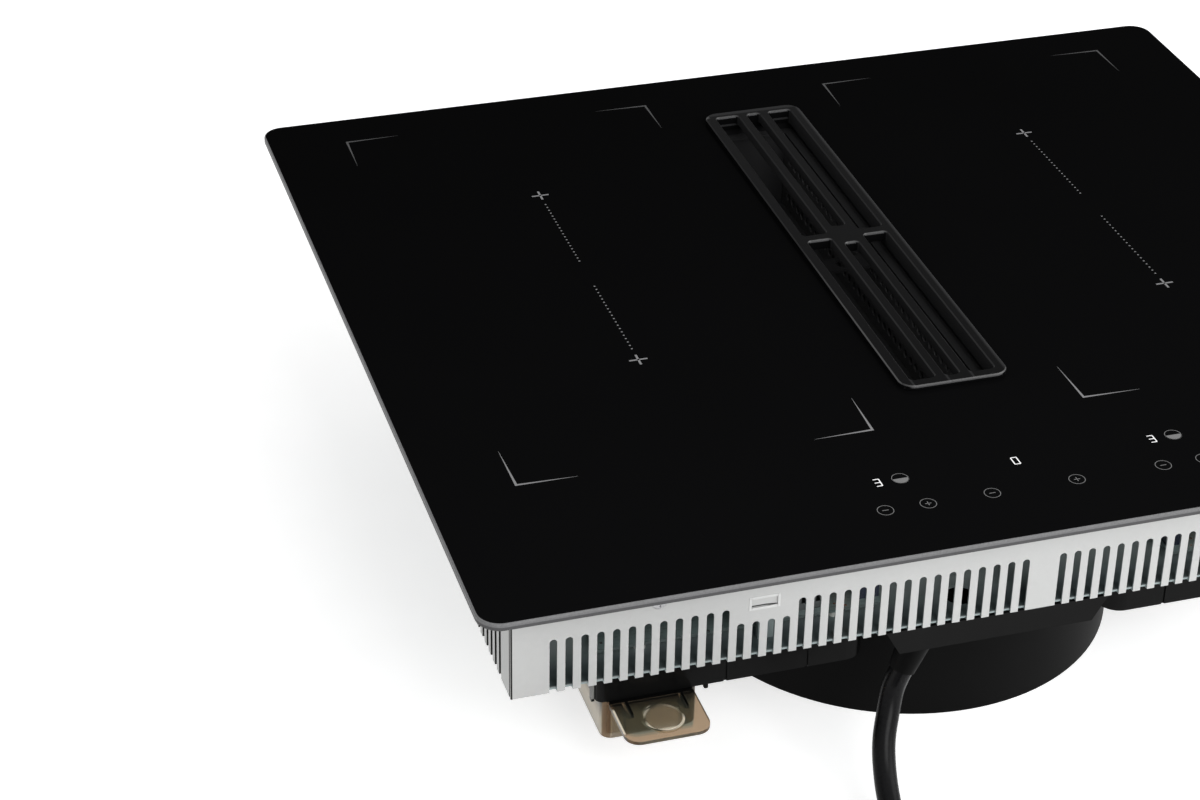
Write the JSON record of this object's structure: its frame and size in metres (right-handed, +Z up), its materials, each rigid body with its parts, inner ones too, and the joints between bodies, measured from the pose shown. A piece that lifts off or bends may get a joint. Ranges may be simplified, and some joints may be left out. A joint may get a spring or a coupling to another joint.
{
  "type": "downdraft induction cooktop",
  "caption": "Black glass induction cooktop with a central intake grille, a lift-out filter, a vented metal case, a spill tray, a flat blower below and a coiled mains cable.",
  "frame": {"origin": "middle of the footprint, on the surface that the blower housing stands on", "axes": "+X to the user's right, +Y to the back, +Z up; the user stands at -Y"},
  "size_m": [0.58, 0.6748, 0.173],
  "materials": {
    "black_glass": "polished ceramic glass, opaque black",
    "seal_rubber": "matt",
    "grille_black": "satin black",
    "filter_metal": "satin black coating on metal",
    "case_sheet": "zinc-coated, fine satin",
    "bare_aluminium": "satin",
    "screw_steel": "zinc-plated",
    "copper": "enamelled copper wire",
    "ferrite": "matt ceramic",
    "mica": "matt",
    "circuit_board": "solder mask",
    "pale_plastic": "matt",
    "capacitor_case": "gloss",
    "gloss_black": "gloss black",
    "matt_black": "matt black",
    "dark_grey": "matt dark grey",
    "smoked_plastic": "smoked, see-through",
    "motor_grey": "satin",
    "cable_black": "satin"
  },
  "bodies": {
    "cooktop": {"glass_top": "black_glass", "worktop_seal": "seal_rubber", "intake_funnel": "matt_black", "funnel_seal": "seal_rubber", "case_floor": "case_sheet", "front_vent_panel": "case_sheet", "rear_vent_panel": "case_sheet", "left_side_panel": "case_sheet", "right_side_panel": "case_sheet", "case_screws": "screw_steel", "coil_carriers": "bare_aluminium", "carrier_posts": "dark_grey", "induction_coils": "copper", "ferrite_bars": "ferrite", "coil_insulation": "mica", "coil_sensors": "pale_plastic", "power_boards": "circuit_board", "board_standoffs": "pale_plastic", "heat_sinks": "bare_aluminium", "filter_capacitors": "capacitor_case", "choke_coils": "copper", "cooling_fan_frames": "matt_black", "touch_board": "circuit_board", "board_bracket": "case_sheet", "key_displays": "matt_black", "terminal_cover": "dark_grey", "terminal_block": "pale_plastic", "plenum_housing": "gloss_black", "plenum_screws": "screw_steel", "tray_rails": "gloss_black", "blower_scroll": "matt_black", "blower_screws": "screw_steel", "outlet_duct": "matt_black", "inlet_ring": "dark_grey", "blower_motor": "motor_grey", "motor_screws": "screw_steel", "cable_gland": "matt_black", "cable_free": "cable_black", "cable_coil": "cable_black", "cable_tie": "matt_black", "cable_cores": "copper"},
    "filter_cassette": {"filter_frame": "filter_metal", "filter_mesh": "filter_metal", "filter_handle": "filter_metal"},
    "grille": {"intake_grille": "grille_black"},
    "tray": {"drip_tray": "smoked_plastic"},
    "impeller_unit": {"impeller": "dark_grey", "motor_shaft": "screw_steel"},
    "left_fan": {"left_fan_rotor": "dark_grey"},
    "right_fan": {"right_fan_rotor": "dark_grey"}
  },
  "joints": [
    {"name": "filter_lift", "type": "slide", "parent": "cooktop", "child": "filter_cassette", "axis": [0, 0, 1], "range_m": [0, 0.09]},
    {"name": "grille_lift", "type": "slide", "parent": "filter_cassette", "child": "grille", "axis": [0, 0, 1], "range_m": [0, 0.06]},
    {"name": "tray_slide", "type": "slide", "parent": "cooktop", "child": "tray", "axis": [0, -1, 0], "range_m": [0, 0.11]},
    {"name": "impeller_spin", "type": "hinge", "parent": "cooktop", "child": "impeller_unit", "pos_m": [0, -0.057, 0.03], "axis": [0, 0, 1], "continuous": true},
    {"name": "left_fan_spin", "type": "hinge", "parent": "cooktop", "child": "left_fan", "pos_m": [-0.242, 0.12, 0.118], "axis": [0, 0, 1], "continuous": true},
    {"name": "right_fan_spin", "type": "hinge", "parent": "cooktop", "child": "right_fan", "pos_m": [0.242, 0.12, 0.118], "axis": [0, 0, 1], "continuous": true}
  ]
}
